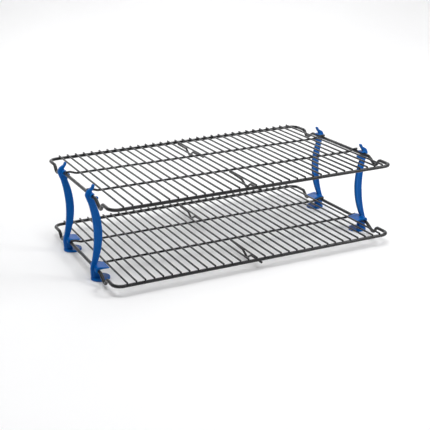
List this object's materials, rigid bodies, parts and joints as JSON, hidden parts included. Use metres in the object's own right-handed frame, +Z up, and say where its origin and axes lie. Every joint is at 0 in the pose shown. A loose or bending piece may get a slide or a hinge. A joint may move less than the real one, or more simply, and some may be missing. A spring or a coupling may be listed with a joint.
{
  "type": "cooling_rack",
  "caption": "Two-tier wire cooling rack: two coated wire grids with bent V feet, stacked on curved blue plastic legs that clip under the lower end rails and hook over the upper ones",
  "frame": {"origin": "middle of the footprint, on the worktop under the leg pads", "axes": "+X along the racks to the right, +Y from the front long rail to the back one, +Z up"},
  "size_m": [0.4204, 0.2668, 0.1277],
  "materials": {
    "coated_wire": "dark grey non-stick coating on steel wire, satin",
    "blue_plastic": "moulded royal blue polypropylene, semi-gloss"
  },
  "bodies": {
    "racks": {"lower_perimeter_wire": "coated_wire", "lower_cross_wires_01_02": "coated_wire", "lower_cross_wires_03_04": "coated_wire", "lower_cross_wires_05_06": "coated_wire", "lower_cross_wires_07_08": "coated_wire", "lower_cross_wires_09_10": "coated_wire", "lower_cross_wires_11_12": "coated_wire", "lower_cross_wires_13_14": "coated_wire", "lower_cross_wires_15_16": "coated_wire", "lower_cross_wires_17_18": "coated_wire", "lower_cross_wires_19_20": "coated_wire", "lower_cross_wires_21_22": "coated_wire", "lower_cross_wires_23_24": "coated_wire", "lower_cross_wires_25_26": "coated_wire", "lower_cross_wires_27_28": "coated_wire", "lower_cross_wires_29_30": "coated_wire", "lower_cross_wires_31_32": "coated_wire", "lower_front_inner_rod": "coated_wire", "lower_back_inner_rod": "coated_wire", "lower_front_centre_foot_wire": "coated_wire", "lower_back_centre_foot_wire": "coated_wire", "upper_perimeter_wire": "coated_wire", "upper_cross_wires_01_02": "coated_wire", "upper_cross_wires_03_04": "coated_wire", "upper_cross_wires_05_06": "coated_wire", "upper_cross_wires_07_08": "coated_wire", "upper_cross_wires_09_10": "coated_wire", "upper_cross_wires_11_12": "coated_wire", "upper_cross_wires_13_14": "coated_wire", "upper_cross_wires_15_16": "coated_wire", "upper_cross_wires_17_18": "coated_wire", "upper_cross_wires_19_20": "coated_wire", "upper_cross_wires_21_22": "coated_wire", "upper_cross_wires_23_24": "coated_wire", "upper_cross_wires_25_26": "coated_wire", "upper_cross_wires_27_28": "coated_wire", "upper_cross_wires_29_30": "coated_wire", "upper_cross_wires_31_32": "coated_wire", "upper_front_inner_rod": "coated_wire", "upper_back_inner_rod": "coated_wire", "upper_front_centre_foot_wire": "coated_wire", "upper_back_centre_foot_wire": "coated_wire"},
    "left_front_leg": {"left_front_leg": "blue_plastic"},
    "left_back_leg": {"left_back_leg": "blue_plastic"},
    "right_front_leg": {"right_front_leg": "blue_plastic"},
    "right_back_leg": {"right_back_leg": "blue_plastic"}
  },
  "joints": [
    {"name": "left_front_leg_hinge", "type": "hinge", "parent": "racks", "child": "left_front_leg", "pos_m": [-0.2019, -0.0595, 0.0145], "axis": [0, -1, 0], "range_deg": [0, 12]},
    {"name": "left_back_leg_hinge", "type": "hinge", "parent": "racks", "child": "left_back_leg", "pos_m": [-0.2019, 0.0595, 0.0145], "axis": [0, -1, 0], "range_deg": [0, 12]},
    {"name": "right_front_leg_hinge", "type": "hinge", "parent": "racks", "child": "right_front_leg", "pos_m": [0.2019, -0.0595, 0.0145], "axis": [0, 1, 0], "range_deg": [0, 12]},
    {"name": "right_back_leg_hinge", "type": "hinge", "parent": "racks", "child": "right_back_leg", "pos_m": [0.2019, 0.0595, 0.0145], "axis": [0, 1, 0], "range_deg": [0, 12]}
  ]
}
